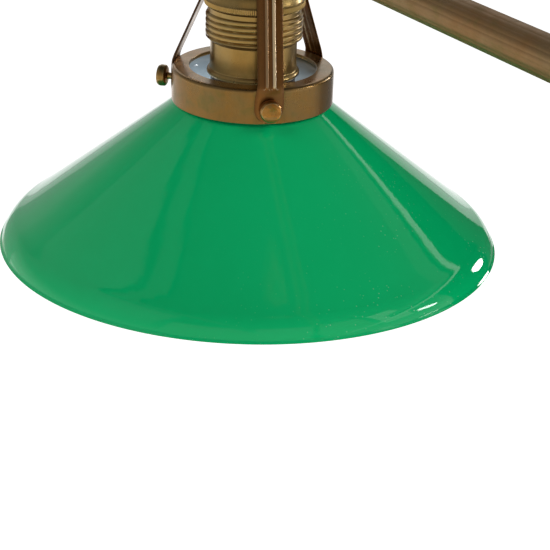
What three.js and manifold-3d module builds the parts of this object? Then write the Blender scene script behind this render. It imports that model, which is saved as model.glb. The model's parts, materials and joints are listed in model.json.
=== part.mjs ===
// Two-light pool table lamp: a reeded brass beam on a stem, hung from a ceiling
// canopy by a link, with a green cone shade in a three-strap gallery at each end.
// Millimetres, +Z up. The origin is on the ceiling, at the centre of the plate.
import * as THREE from 'three';
import { mergeVertices } from 'three/addons/utils/BufferGeometryUtils.js';
import Module from 'manifold-3d';

// ---------------------------------------------------------------- dimensions

const GAP = 0.3;                 // clearance between pieces that touch
const LIGHT_SPACING = 450;       // between the two shade axes, along the beam
const BEAM_DROP = 480;           // ceiling to the beam's centre line
const TUBE_R = 6.6;              // outside radius of the beam and the stem
const TUBE_WALL = 1;
const BEAM_OVERHANG = 46;        // beam beyond each shade axis

// Heights below are measured from the top face of the gallery ring.
const BEAM_ABOVE_RING = 55.2;
const RING_R = 32.6;
const RING_HEIGHT = 13.9;
const RING_HOLE_R = 25.6;
const RING_WALL = 1.2;
const NECK_R = 28.8;             // outside of the glass neck
const NECK_BORE_R = 26;
const RIM_R = 103.1;             // shade radius at its lower edge
const RIM_Z = -73.7;
const CONE_SLOPE = 0.77;         // fall per millimetre of radius
const SHOULDER_R = 5.2;          // rounding between cone and rim
const GLASS = 3.2;

const STRAP_WIDTH = 10.2;
const STRAP_T = 0.8;
// Degrees round from the beam, and sideways lean per millimetre of height: the
// straps are bent and set by hand, so they are not quite even.
const STRAP_SETTING = [[-15.6, 0.046], [102.4, -0.06], [229.7, -0.04]];
const STRAP_FOOT_R = 33.1;       // outer face where it passes the ring's top
const STRAP_LEAN = 0.432;        // inward, per millimetre of height
const TAB_PROUD = 0.45;          // of the ring, which has a flat behind each tab
const FLAT_DEPTH = 0.65;         // of that flat
const STRAP_TOP_Z = 45.1;
const SCREW_Z = -7.8;            // thumbscrew axis
const SCREW_OUT = [0, 1, 2.2];   // how far each screw stands out from full in

const BARREL_R = 17.3;           // plain sleeve of the lamp holder
const THREAD_R = 19.4;
const CAP_R = 20;
const CAP_Z = 25.2;
const NIPPLE_R = 5;
const BULB_R = 22.5;
const BULB_CENTRE_Z = -34.5;

const PLATE_R = 38;
const CANOPY_R = 50;
const CANOPY_DEPTH = 42;
const EYE_R = 9.5;               // hook and stem eyes, to the wire's centre
const EYE_WIRE_R = 2.5;
const EYE_Z = -73;
const LINK_WIRE_R = 2.25;
const LINK_BEND_R = 7.75;
const LINK_STRAIGHT = 10.5;

// ----------------------------------------------------------------- materials

const finish = (color, roughness, metalness) =>
  new THREE.MeshStandardMaterial({ color, roughness, metalness });
const brownBrass = finish(0x7c6242, 0.38, 1);
const paleBrass = finish(0xa58a55, 0.32, 1);
const darkBrass = finish(0x4b3a26, 0.42, 1);
const greenGlass = finish(0x0f9450, 0.08, 0);
const porcelain = finish(0xe9e6dc, 0.25, 0);
const steel = finish(0xa9abad, 0.35, 1);
const bulbGlass = finish(0xf6f4ee, 0.15, 0);

// ------------------------------------------------------------------- solids

const wasm = await Module();
wasm.setup();

// One closed body with shared vertices and its faces pointing out.
function closed(source) {
  const geometry = source.clone();
  geometry.deleteAttribute('normal');
  geometry.deleteAttribute('uv');
  const merged = mergeVertices(geometry, 1e-4);
  const keys = merged.index.array;
  const triangles = [];
  for (let i = 0; i < keys.length; i += 3) {
    const [a, b, c] = [keys[i], keys[i + 1], keys[i + 2]];
    if (a !== b && b !== c && c !== a) triangles.push(a, b, c);
  }
  const point = (i) => new THREE.Vector3().fromBufferAttribute(merged.attributes.position, i);
  let volume = 0;
  for (let i = 0; i < triangles.length; i += 3) {
    const [a, b, c] = [point(triangles[i]), point(triangles[i + 1]), point(triangles[i + 2])];
    volume += a.dot(b.cross(c));
  }
  if (volume < 0) triangles.reverse();
  merged.setIndex(triangles);
  return merged;
}

function toManifold(source) {
  const geometry = closed(source);
  return new wasm.Manifold(new wasm.Mesh({
    numProp: 3,
    vertProperties: new Float32Array(geometry.attributes.position.array),
    triVerts: new Uint32Array(geometry.index.array),
  }));
}

function fromManifold(manifold) {
  const mesh = manifold.getMesh();
  const geometry = new THREE.BufferGeometry();
  geometry.setAttribute('position', new THREE.BufferAttribute(mesh.vertProperties, 3));
  geometry.setIndex(new THREE.BufferAttribute(mesh.triVerts, 1));
  return geometry;
}

const cut = (body, ...tools) =>
  fromManifold(tools.reduce((left, tool) => left.subtract(toManifold(tool)), toManifold(body)));
const join = (body, ...others) =>
  fromManifold(others.reduce((sum, other) => sum.add(toManifold(other)), toManifold(body)));
const common = (a, b) => fromManifold(toManifold(a).intersect(toManifold(b)));

// Turned solid from [radius, height] points; a ring's profile closes on itself.
function turned(profile, segments = 28) {
  const points = profile.map(([r, z]) => new THREE.Vector2(r, z));
  const onAxis = profile[0][0] === 0 && profile.at(-1)[0] === 0;
  if (!onAxis) points.push(points[0].clone());
  return closed(new THREE.LatheGeometry(points, segments).rotateX(Math.PI / 2));
}

const rod = (r, low, high, segments = 20) => turned([[0, low], [r, low], [r, high], [0, high]], segments);
const tube = (r, bore, low, high, segments = 20) =>
  turned([[r, low], [r, high], [bore, high], [bore, low]], segments);

// Cylinder along X, centred on height z.
const crossRod = (r, low, high, z, segments = 20) =>
  rod(r, low, high, segments).rotateY(Math.PI / 2).translate(0, 0, z);

// Points on an arc from one angle to another, in degrees.
function arc(centreR, centreZ, radius, from, to, steps) {
  return Array.from({ length: steps + 1 }, (_, i) => {
    const angle = THREE.MathUtils.degToRad(from + (to - from) * i / steps);
    return [centreR + radius * Math.cos(angle), centreZ + radius * Math.sin(angle)];
  });
}

function extruded(points, depth) {
  const shape = new THREE.Shape(points.map(([x, y]) => new THREE.Vector2(x, y)));
  return new THREE.ExtrudeGeometry(shape, { depth, bevelEnabled: false });
}

function node(name, geometry, material) {
  const mesh = new THREE.Mesh(closed(geometry), material);
  mesh.name = name;
  return mesh;
}

// -------------------------------------------------------------------- shade

// Neck in the ring, straight cone, rounded shoulder, and a rim cut off level.
function shadeGeometry() {
  const slopeAngle = THREE.MathUtils.radToDeg(Math.atan(CONE_SLOPE));
  const turn = 90 - slopeAngle;
  const outerShoulder = arc(RIM_R - SHOULDER_R, RIM_Z + 0.6, SHOULDER_R, turn, 0, 3);
  const [coneR, coneZ] = outerShoulder[0];
  const coneAt = (r) => coneZ + (coneR - r) * CONE_SLOPE;
  const innerDrop = GLASS / Math.cos(Math.atan(CONE_SLOPE));
  const innerCone = (r) => coneAt(r) - innerDrop;
  const innerRimR = RIM_R - GLASS;
  const neckBase = coneAt(NECK_R) - 0.4;
  return turned([
    [NECK_BORE_R, -1.8], [30, -1.8], [30.4, -3.6], [NECK_R, -4.3],
    [NECK_R, neckBase + 1.6], [NECK_R + 1.9, coneAt(NECK_R + 1.9)],
    ...outerShoulder, [RIM_R - 0.8, RIM_Z], [innerRimR + 0.6, RIM_Z],
    [innerRimR - 0.4, RIM_Z + 0.9], [innerRimR - 3, innerCone(innerRimR - 3)],
    [NECK_BORE_R + 1.2, innerCone(NECK_BORE_R + 1.2)],
  ], 32);
}

// ------------------------------------------------------------------ gallery

const strapAngles = STRAP_SETTING.map(([degrees]) => THREE.MathUtils.degToRad(degrees));

// Flanged brass band that holds the neck, drilled for the three thumbscrews, with
// a flat outside each hole for the strap's tab.
function ringGeometry() {
  const bore = RING_R - RING_WALL;
  const band = turned([
    [RING_R, -RING_HEIGHT], ...arc(RING_R - 2, -2, 2, 0, 90, 3),
    [RING_HOLE_R + 0.8, 0], [RING_HOLE_R, -0.5], [RING_HOLE_R, -RING_WALL],
    [bore, -RING_WALL], [bore, -RING_HEIGHT],
  ], 32);
  const holes = strapAngles.map((angle) =>
    crossRod(1.7, bore - 3, RING_R + 3, SCREW_Z, 8).rotateZ(angle));
  const flat = new THREE.BoxGeometry(4, STRAP_WIDTH + 3, RING_HEIGHT + 2)
    .translate(RING_R - FLAT_DEPTH + 2, 0, -RING_HEIGHT / 2);
  const flats = strapAngles.map((angle) => flat.clone().rotateZ(angle));
  return cut(band, ...holes, ...flats);
}

// Tab on the ring, leaning leg, level foot on the crown: the side view of a strap
// cut to its front view, then leaned sideways from its screw.
function strapGeometry(sideLean) {
  const outer = RING_R + TAB_PROUD;
  const inner = outer - STRAP_T;
  const legAt = (z) => STRAP_FOOT_R - STRAP_LEAN * z;
  const legT = STRAP_T * Math.hypot(1, STRAP_LEAN);
  const bendZ = STRAP_TOP_Z - 1.6;
  const footR = NIPPLE_R + 1.4;
  const side = extruded([
    [outer, -14], [outer, -0.6], [legAt(0.4), 0.4], [legAt(bendZ), bendZ],
    [legAt(bendZ) - 1.6, STRAP_TOP_Z], [footR, STRAP_TOP_Z], [footR, STRAP_TOP_Z - STRAP_T],
    [legAt(bendZ) - legT - 0.9, STRAP_TOP_Z - STRAP_T], [legAt(bendZ - 1) - legT, bendZ - 1],
    [legAt(0.6) - legT, 0.6], [inner, -0.6], [inner, -14],
  ], 14).translate(0, 0, -7).rotateX(Math.PI / 2);
  const half = STRAP_WIDTH / 2;
  const tabR = half + 0.65;
  const front = extruded([
    [-half, 60], [-half, -3], ...arc(0, SCREW_Z + 0.4, tabR, 160, 380, 8), [half, -3], [half, 60],
  ], 50).rotateX(Math.PI / 2).rotateZ(Math.PI / 2);
  const shear = new THREE.Matrix4().makeShear(0, 0, 0, 0, 0, sideLean);
  return common(side, front)
    .translate(0, 0, -SCREW_Z).applyMatrix4(shear).translate(0, 0, SCREW_Z);
}

const drilledStrap = (sideLean) =>
  cut(strapGeometry(sideLean), crossRod(1.7, 25, 45, SCREW_Z, 8));

// Turned screw with a domed disc head; fully in, its tip is under the glass bead.
function thumbscrewGeometry(out) {
  const profile = [
    [0, 29.1], [1.35, 29.1], [1.35, 33.5], [1.9, 34.2], [4.4, 34.4], [4.4, 36.9], [2.9, 37.7], [0, 37.9],
  ];
  return turned(profile, 10).rotateY(Math.PI / 2).translate(out, 0, SCREW_Z);
}

const crownGeometry = () => tube(12, NIPPLE_R + GAP, 41.9, 43.6, 20);

// Collar shaped to the underside of the beam, clamping the straps to the crown.
const collarGeometry = () => cut(
  tube(8, NIPPLE_R + GAP, STRAP_TOP_Z + GAP, 51, 16),
  crossRod(TUBE_R + GAP, -20, 20, BEAM_ABOVE_RING, 20),
);

const nippleGeometry = () => tube(NIPPLE_R, NIPPLE_R - 1.2, 36.5, BEAM_ABOVE_RING + TUBE_R + 5, 14);

// Domed nut above the beam, on the nipple's upper end.
const capNutGeometry = () => {
  const seat = BEAM_ABOVE_RING + TUBE_R;
  const nut = turned([
    [0, seat + 9], [3.5, seat + 8.2], [6, seat + 6], [7.4, seat + 3.4], [7.8, seat + 1.4],
    [7.8, seat - 3], [NIPPLE_R + GAP, seat - 3], [NIPPLE_R + GAP, seat + 5.4], [0, seat + 5.4],
  ], 16);
  return cut(nut, crossRod(TUBE_R + GAP, -20, 20, BEAM_ABOVE_RING, 20));
};

// -------------------------------------------------------------- lamp holder

// Knurled band, groove and dome, with a neck that screws onto the nipple.
function holderCapGeometry() {
  return turned([
    [CAP_R, CAP_Z], [CAP_R, CAP_Z + 2.6], [18.8, CAP_Z + 4.6], [16.2, CAP_Z + 8.4],
    [12.6, CAP_Z + 11], [7.6, CAP_Z + 12.8], [7.6, 41.5], [NIPPLE_R + GAP, 41.5],
    [NIPPLE_R + GAP, CAP_Z + 11.6], [14.8, CAP_Z + 7.4], [17.6, CAP_Z + 3], [17.6, CAP_Z],
  ], 22);
}

// Plain sleeve with a rolled bead at ring height, threaded above, and a spigot
// that stands inside the cap.
function barrelGeometry() {
  const bore = BARREL_R - 1;
  return turned([
    [bore, -9], [BARREL_R, -9], [BARREL_R, -1], [18.6, -0.4], [18.6, 0.6], [BARREL_R, 3],
    [BARREL_R, 10], [THREAD_R, 11.6], [THREAD_R, 22.4], [18.5, 22.7], [18.5, 24.6],
    [17.2, 24.6], [17.2, 27], [bore, 27],
  ], 24);
}

const insulatorGeometry = () => turned([
  [0, 24], [15.4, 24], [15.4, -8], [14.9, -8], [14.9, 18.4], [0, 18.4],
].reverse(), 20);

const shellGeometry = () => tube(14.6, 13.7, -6, 18, 20);

// ---------------------------------------------------------------------- bulb

// Blown envelope, open at its neck, with the wall's own thickness.
function bulbGeometry() {
  const wall = 0.9;
  const bottom = BULB_CENTRE_Z;
  const outer = arc(0, bottom, BULB_R, -90, 52, 5).slice(1);
  const inner = arc(0, bottom, BULB_R - wall, 52, -90, 5).slice(0, -1);
  return turned([
    [0, bottom - BULB_R], ...outer, [12, -9.4], [12, -3], [12 - wall, -3], [12 - wall, -9.6],
    ...inner, [0, bottom - BULB_R + wall],
  ], 16);
}

// Threaded cap of the bulb with its insulated tip.
const bulbCapGeometry = () => turned([
  [0, 17.4], [4.4, 17.4], [11, 15], [13.2, 12], [13.2, -6.6], [12.3, -6.6], [12.3, 11.4], [0, 14],
], 16);

// -------------------------------------------------------------- one light

// All pieces of one light, in the ring's own frame, turned about its axis.
function light(side, x, turn) {
  const group = new THREE.Group();
  const add = (piece, geometry, material) => group.add(node(`${piece}_${side}`, geometry, material));
  add('shade', shadeGeometry(), greenGlass);
  add('gallery_ring', ringGeometry(), brownBrass);
  strapAngles.forEach((angle, i) => {
    add(`strap_${i + 1}`, drilledStrap(STRAP_SETTING[i][1]).rotateZ(angle), darkBrass);
    add(`thumbscrew_${i + 1}`, thumbscrewGeometry(SCREW_OUT[i]).rotateZ(angle), paleBrass);
  });
  add('strap_crown', crownGeometry(), brownBrass);
  add('beam_collar', collarGeometry(), brownBrass);
  add('nipple', nippleGeometry(), steel);
  add('cap_nut', capNutGeometry(), paleBrass);
  add('holder_cap', holderCapGeometry(), paleBrass);
  add('holder_barrel', barrelGeometry(), paleBrass);
  add('holder_insulator', insulatorGeometry(), porcelain);
  add('screw_shell', shellGeometry(), paleBrass);
  add('bulb_envelope', bulbGeometry(), bulbGlass);
  add('bulb_cap', bulbCapGeometry(), steel);
  group.rotation.z = turn;
  group.position.set(x, 0, -BEAM_DROP - BEAM_ABOVE_RING);
  return group;
}

// ------------------------------------------------------------ beam and stem

const HUB_R = 13;
const BEAM_HALF = LIGHT_SPACING / 2 + BEAM_OVERHANG;
const LINK_TOP_Z = EYE_Z - EYE_R + EYE_WIRE_R + LINK_WIRE_R + GAP;
const LINK_LOW_Z = LINK_TOP_Z - 2 * LINK_BEND_R - LINK_STRAIGHT;
const STEM_EYE_Z = LINK_LOW_Z + LINK_WIRE_R + EYE_WIRE_R + GAP - EYE_R;
const FERRULE_TOP_Z = STEM_EYE_Z - EYE_R;
const FERRULE_LENGTH = 20;
const STEM_LOW_Z = TUBE_R + 2 * GAP;

function beamGeometry() {
  const outside = crossRod(TUBE_R, -BEAM_HALF, BEAM_HALF, 0, 20);
  const bore = crossRod(TUBE_R - TUBE_WALL, -BEAM_HALF - 1, BEAM_HALF + 1, 0, 16);
  const drilling = rod(NIPPLE_R + GAP, -20, 20, 14);
  const entries = [-1, 1].map((end) => drilling.clone().translate(end * LIGHT_SPACING / 2, 0, 0));
  const leadHole = rod(3.5, 0, 20, 12);
  return cut(outside, bore, ...entries, leadHole).translate(0, 0, -BEAM_DROP);
}

// Turned end piece: a spigot in the tube, a flange, a neck and a ball.
function finialGeometry(end) {
  const spigot = TUBE_R - TUBE_WALL - GAP;
  const ball = arc(0, 13.5, 7.2, -58, 90, 5);
  const profile = [
    [0, -10], [spigot, -10], [spigot, GAP], [8.4, GAP], [8.4, 2.4], [5, 3.4], [3.9, 5.4],
    ...ball.slice(0, -1), [0, 20.7],
  ];
  return turned(profile, 16).rotateY(end * Math.PI / 2).translate(end * BEAM_HALF, 0, -BEAM_DROP);
}

// Ball fitting: the beam passes through it and the stem screws in from above.
function hubGeometry() {
  const collar = rod(9.4, 5, 22, 20);
  const ball = turned([[0, -HUB_R], ...arc(0, 0, HUB_R, -72, 72, 6), [0, HUB_R]], 20);
  const stemSeat = rod(TUBE_R + GAP, 0, 30, 20);
  const sideways = crossRod(TUBE_R + GAP + 0.1, -20, 20, 0, 20);
  return cut(join(ball, collar), stemSeat, sideways).translate(0, 0, -BEAM_DROP);
}

// Drop finial under the hub.
const hubDropGeometry = () => turned([
  [0, -HUB_R - 15], [2.4, -HUB_R - 14.2], [3.4, -HUB_R - 11.6], [2.2, -HUB_R - 8.6], [1.8, -HUB_R - 6],
  [4.6, -HUB_R - 4.6], [5.2, -HUB_R - 2.6], [4.6, -HUB_R - GAP], [0, -HUB_R - GAP],
], 14).translate(0, 0, -BEAM_DROP);

const stemGeometry = () =>
  tube(TUBE_R, TUBE_R - TUBE_WALL, STEM_LOW_Z - BEAM_DROP, FERRULE_TOP_Z - 8, 20);

const eyeGeometry = (z) =>
  new THREE.TorusGeometry(EYE_R, EYE_WIRE_R, 8, 16).rotateX(Math.PI / 2).translate(0, 0, z);

// Eye on a turned ferrule that caps the stem.
function stemEyeGeometry() {
  const top = FERRULE_TOP_Z + 1.4;
  const low = FERRULE_TOP_Z - FERRULE_LENGTH;
  const ferrule = turned([
    [0, top], [5, top], [8.8, top - 4], [8.8, low], [TUBE_R + GAP, low],
    [TUBE_R + GAP, FERRULE_TOP_Z - 7], [0, FERRULE_TOP_Z - 7],
  ].reverse(), 20);
  return join(ferrule, eyeGeometry(STEM_EYE_Z));
}

// -------------------------------------------------------------- suspension

// Oval ring: a torus opened along Z by a straight length on each side.
function linkGeometry() {
  const bends = 16;
  const ring = new THREE.TorusGeometry(LINK_BEND_R, LINK_WIRE_R, 8, bends).rotateZ(Math.PI / bends);
  const position = ring.attributes.position;
  for (let i = 0; i < position.count; i += 1) {
    position.setY(i, position.getY(i) + Math.sign(position.getY(i)) * LINK_STRAIGHT / 2);
  }
  const middle = (LINK_TOP_Z + LINK_LOW_Z) / 2;
  return ring.rotateX(Math.PI / 2).rotateZ(Math.PI / 2).translate(0, 0, middle);
}

// Eye on a threaded rod that screws up into the ceiling plate.
const hookGeometry = () => join(rod(4, EYE_Z + EYE_R - 1.5, -1.8, 14), eyeGeometry(EYE_Z));

function plateGeometry() {
  const plate = rod(PLATE_R, -3, 0, 28);
  const rodSeat = rod(4 + GAP, -4, -1.5, 14);
  const screwHole = rod(2.5, -5, 1, 10);
  const screwHoles = [-1, 1].map((end) => screwHole.clone().translate(end * 28, 0, 0));
  return cut(plate, rodSeat, ...screwHoles);
}

// Spun bell that hides the plate.
function canopyGeometry() {
  const wall = 1;
  const outside = [
    [CANOPY_R, -0.5], [CANOPY_R, -4], [46, -8], [44, -18], [34, -30], [12, -40],
  ];
  const inside = outside.map(([r, z]) => [r - wall, z + (r > 40 ? 0 : wall)]).reverse();
  inside[0] = [4 + GAP, -CANOPY_DEPTH + wall];
  return turned([...outside, [4 + GAP, -CANOPY_DEPTH], ...inside], 24);
}

const canopyNutGeometry = () => turned([
  [4 + GAP, -CANOPY_DEPTH - GAP], [10.5, -CANOPY_DEPTH - GAP], [11, -43.2], [11, -48], [8, -49.6],
  [4 + GAP, -49.6],
], 16);

// Connector block for the supply leads, under the ceiling plate.
function terminalGeometry() {
  const block = new THREE.BoxGeometry(18, 9, 10).translate(0, 20, -8.3 - GAP);
  const screws = [-5, 5].map((x) => rod(1.8, -15, -12, 8).translate(x, 20, 0));
  const ways = [-5, 5].map((x) => rod(1.5, 10, 30, 8).rotateX(-Math.PI / 2).translate(x, 0, -8));
  return cut(block, ...screws, ...ways);
}

// ----------------------------------------------------------------- assembly

const lamp = new THREE.Group();
lamp.add(
  node('ceiling_plate', plateGeometry(), steel),
  node('terminal_block', terminalGeometry(), porcelain),
  node('canopy', canopyGeometry(), brownBrass),
  node('canopy_nut', canopyNutGeometry(), paleBrass),
  node('ceiling_hook', hookGeometry(), brownBrass),
  node('suspension_link', linkGeometry(), brownBrass),
  node('stem_eye', stemEyeGeometry(), brownBrass),
  node('stem', stemGeometry(), brownBrass),
  node('hub', hubGeometry(), paleBrass),
  node('hub_drop', hubDropGeometry(), paleBrass),
  node('beam', beamGeometry(), brownBrass),
  node('finial_a', finialGeometry(-1), paleBrass),
  node('finial_b', finialGeometry(1), paleBrass),
  light('a', -LIGHT_SPACING / 2, 0),
  light('b', LIGHT_SPACING / 2, Math.PI),
);

export default lamp;
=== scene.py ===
"""Looks for a two-light pool table lamp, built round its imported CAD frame.

Outlines are in millimetres, each in its own light's or fitting's frame, and
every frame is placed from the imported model.
"""

import json
import math

import bmesh
import bpy
from mathutils import Matrix, Vector, noise


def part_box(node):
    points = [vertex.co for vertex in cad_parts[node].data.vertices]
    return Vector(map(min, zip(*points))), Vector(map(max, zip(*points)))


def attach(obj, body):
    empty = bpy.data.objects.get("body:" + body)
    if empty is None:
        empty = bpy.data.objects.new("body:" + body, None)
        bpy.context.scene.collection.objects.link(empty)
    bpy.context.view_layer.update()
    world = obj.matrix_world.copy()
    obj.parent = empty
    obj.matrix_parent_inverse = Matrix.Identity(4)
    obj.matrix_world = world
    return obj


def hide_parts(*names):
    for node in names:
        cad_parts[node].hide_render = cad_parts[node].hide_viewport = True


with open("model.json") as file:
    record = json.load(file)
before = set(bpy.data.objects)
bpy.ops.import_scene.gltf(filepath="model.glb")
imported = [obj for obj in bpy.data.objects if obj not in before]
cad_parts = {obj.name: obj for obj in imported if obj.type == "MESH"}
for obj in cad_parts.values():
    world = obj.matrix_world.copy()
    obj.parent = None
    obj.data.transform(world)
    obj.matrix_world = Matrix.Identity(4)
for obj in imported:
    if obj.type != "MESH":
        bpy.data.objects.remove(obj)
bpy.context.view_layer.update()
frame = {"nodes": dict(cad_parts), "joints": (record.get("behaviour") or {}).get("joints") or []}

MM = 0.001
SIDES = ("a", "b")
JOINTS = {joint["name"]: joint for joint in frame["joints"]}

# The view, from the top centre of gallery ring a.
VIEW_AZIMUTH = 61.5
VIEW_ELEVATION = 24.2
VIEW_ROLL = 2.05
VIEW_AIM_RIGHT = 11.81 * MM
VIEW_AIM_DOWN = 91.85 * MM
VIEW_DISTANCE = 0.6791
VIEW_LENS = 104.66
SENSOR = 36

# Driving dimensions, in millimetres and degrees. Radii and heights are in the
# light's own frame, whose origin is the top centre of its gallery ring.
TUBE_R = 6.6
TUBE_WALL = 1.0
REEDS = 19
REED_DEPTH = 0.1
BEAM_ABOVE_RING = 55.2
RING_R = 32.6
RING_HEIGHT = 13.9
RING_HOLE_R = 25.6
RING_WALL = 1.2
NECK_R = 28.8
NECK_BORE_R = 26.0
RIM_R = 103.1
RIM_Z = -73.7
CONE_SLOPE = 0.77
CONE_FOOT_R = 101.07
CONE_FOOT_Z = -68.98
FLARE = 4.8
FLARE_BAND = 7.5
ROLL_START_R = 95.8
ROLL_R = 15.0
LIP_HEIGHT = 1.0
GLASS = 3.2
STRAP_HALF = 5.1
STRAP_T = 0.8
TAB_PROUD = 0.45
FLAT_DEPTH = 0.65
TAB_R = 5.75
RIB_R = 0.8
RIB_PITCH = 2.9
RIB_HEIGHT = 0.42
STRAP_FOOT_R = 33.1
STRAP_LEAN = 0.432
STRAP_TOP_Z = 45.1
STRAP_SIDE_LEAN = (0.046, -0.06, -0.04)
SCREW_Z = -7.8
SCREW_OUT = (0, 1, 2.2)
BARREL_R = 17.3
THREAD_R = 19.4
THREAD_LOW = 10.8
THREAD_HIGH = 22.4
THREAD_PITCH = 2.3
THREAD_DEPTH = 0.65
THREAD_STEP = 0.15
CAP_R = 20.0
CAP_Z = 25.2
KNURLS = 168
EYE_R = 9.5
EYE_WIRE_R = 2.5
LINK_WIRE_R = 2.25

# Colours of the glass, and the sides of a shade that are dusty and lit.
GREEN_BODY = (0.0015, 0.472, 0.152, 1.0)
GREEN_DEEP = (0.0010, 0.450, 0.141, 1.0)
GREEN_PALE = (0.0060, 0.500, 0.173, 1.0)
DUST = (0.30, 0.58, 0.42, 1.0)
DUSTY_SIDE = (0.85, 0.52, 0.0)
LIT_SIDE = (-0.48, -0.88, 0.0)


# ------------------------------------------------------------------- outlines


def held(share):
    """A share kept between 0 and 1."""
    return max(0.0, min(1.0, share))


def arc(centre_r, centre_z, radius, start, end, steps):
    """Points on an arc, angles in degrees."""
    points = []
    for i in range(steps + 1):
        angle = math.radians(start + (end - start) * i / steps)
        r = centre_r + radius * math.cos(angle)
        points.append((r, centre_z + radius * math.sin(angle)))
    return points


def rounded(points, closed=False, steps=4):
    """Outline with its corners rounded; a point's third value is the fillet's size."""
    count = len(points)
    made = []
    for i, point in enumerate(points):
        here = Vector(point[:2])
        size = point[2] if len(point) > 2 else 0
        inner = closed or 0 < i < count - 1
        if not inner or size == 0:
            made.append(tuple(here))
            continue
        before = Vector(points[i - 1][:2])
        after = Vector(points[(i + 1) % count][:2])
        reach_in = min(size, (before - here).length * 0.48)
        reach_out = min(size, (after - here).length * 0.48)
        start = here + (before - here).normalized() * reach_in
        end = here + (after - here).normalized() * reach_out
        for k in range(steps + 1):
            t = k / steps
            made.append(tuple(start.lerp(here, t).lerp(here.lerp(end, t), t)))
    return made


def resampled(points, step):
    """The same line with points no further apart than step."""
    made = [Vector(points[0])]
    for a, b in zip(points, points[1:]):
        a, b = Vector(a), Vector(b)
        cuts = max(1, math.ceil((b - a).length / step))
        made.extend(a.lerp(b, k / cuts) for k in range(1, cuts + 1))
    return made


# --------------------------------------------------------------------- meshes


def store_relief(bm):
    """Keeps each vertex's curvature per millimetre: above 0 on crests, which the brass lightens as
    wear and painted highlight; below 0 in hollows, which it darkens.
    """
    bm.normal_update()
    layer = bm.verts.layers.float.new("relief")
    for v in bm.verts:
        bends = []
        for e in v.link_edges:
            d = e.other_vert(v).co - v.co
            if d.length > 1e-7:
                bends.append(-2 * d.dot(v.normal) / d.length_squared)
        v[layer] = sum(bends) / len(bends) * MM if bends else 0.0


def linked(name, data):
    """An object with this data, in the scene."""
    made = bpy.data.objects.new(name, data)
    bpy.context.scene.collection.objects.link(made)
    return made


def mesh_from(name, bm):
    """Mesh made from a bmesh, which is then freed."""
    mesh = bpy.data.meshes.new(name)
    bm.to_mesh(mesh)
    bm.free()
    return mesh


def finished(name, bm, sharp_degrees=38, wear_and_sheen=None):
    """Object from a bmesh: faces out, smooth, with sharp creases kept.

    The last argument, a function of x, y, z in millimetres, may give its own relief value for a
    spot, or None; raised relief lightens a spot as wear and painted highlight.
    """
    bmesh.ops.remove_doubles(bm, verts=bm.verts, dist=1e-6)
    bmesh.ops.recalc_face_normals(bm, faces=bm.faces)
    limit = math.radians(sharp_degrees)
    for face in bm.faces:
        face.smooth = True
    for edge in bm.edges:
        edge.smooth = len(edge.link_faces) == 2 and edge.calc_face_angle(0) < limit
    store_relief(bm)
    if wear_and_sheen:
        layer = bm.verts.layers.float["relief"]
        for v in bm.verts:
            own = wear_and_sheen(*(v.co / MM))
            v[layer] = v[layer] if own is None else own
    piece = linked(name, mesh_from(name, bm))
    weighted = piece.modifiers.new("even shading", "WEIGHTED_NORMAL")
    weighted.keep_sharp = True
    return piece


def add_loops(bm, loops, wrap_along=False):
    """Skins a list of vertex loops; a loop of one vertex is a tip."""
    pairs = list(zip(loops, loops[1:]))
    if wrap_along:
        pairs.append((loops[-1], loops[0]))
    for a, b in pairs:
        count = max(len(a), len(b))
        for k in range(count):
            n = (k + 1) % count
            corners = [a[k % len(a)], a[n % len(a)], b[n % len(b)], b[k % len(b)]]
            unique = list(dict.fromkeys(corners))
            if len(unique) > 2:
                bm.faces.new(unique)


def turn_into(bm, outline, segments, shape=None, closed=False):
    """Adds a turned surface; shape(r, z, angle) may return another (r, z)."""
    loops = []
    for r, z in outline:
        if r < 1e-6:
            loops.append([bm.verts.new((0, 0, z * MM))])
            continue
        loop = []
        for k in range(segments):
            angle = 2 * math.pi * k / segments
            rr, zz = shape(r, z, angle) if shape else (r, z)
            place = (rr * MM * math.cos(angle), rr * MM * math.sin(angle), zz * MM)
            loop.append(bm.verts.new(place))
        loops.append(loop)
    add_loops(bm, loops, wrap_along=closed)


def turned(name, outline, segments=96, shape=None, closed=False):
    """A turned piece, made from its outline."""
    bm = bmesh.new()
    turn_into(bm, outline, segments, shape, closed)
    return finished(name, bm)


def add_torus(bm, ring_r, wire_r, centre, straight=0.0, around_y=True):
    """Round wire ring standing in the XZ or YZ plane, its sides lengthened along Z."""
    loops = []
    for i in range(64):
        along = 2 * math.pi * (i + 0.5) / 64
        loop = []
        for k in range(20):
            across = 2 * math.pi * k / 20
            flat = ring_r + wire_r * math.cos(across)
            side = wire_r * math.sin(across)
            x = flat * math.cos(along)
            z = flat * math.sin(along) + math.copysign(straight / 2, math.sin(along))
            place = (x, side, z) if around_y else (side, x, z)
            loop.append(bm.verts.new((Vector(place) + Vector(centre)) * MM))
        loops.append(loop)
    add_loops(bm, loops, wrap_along=True)


# ------------------------------------------------------------ node materials


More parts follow.
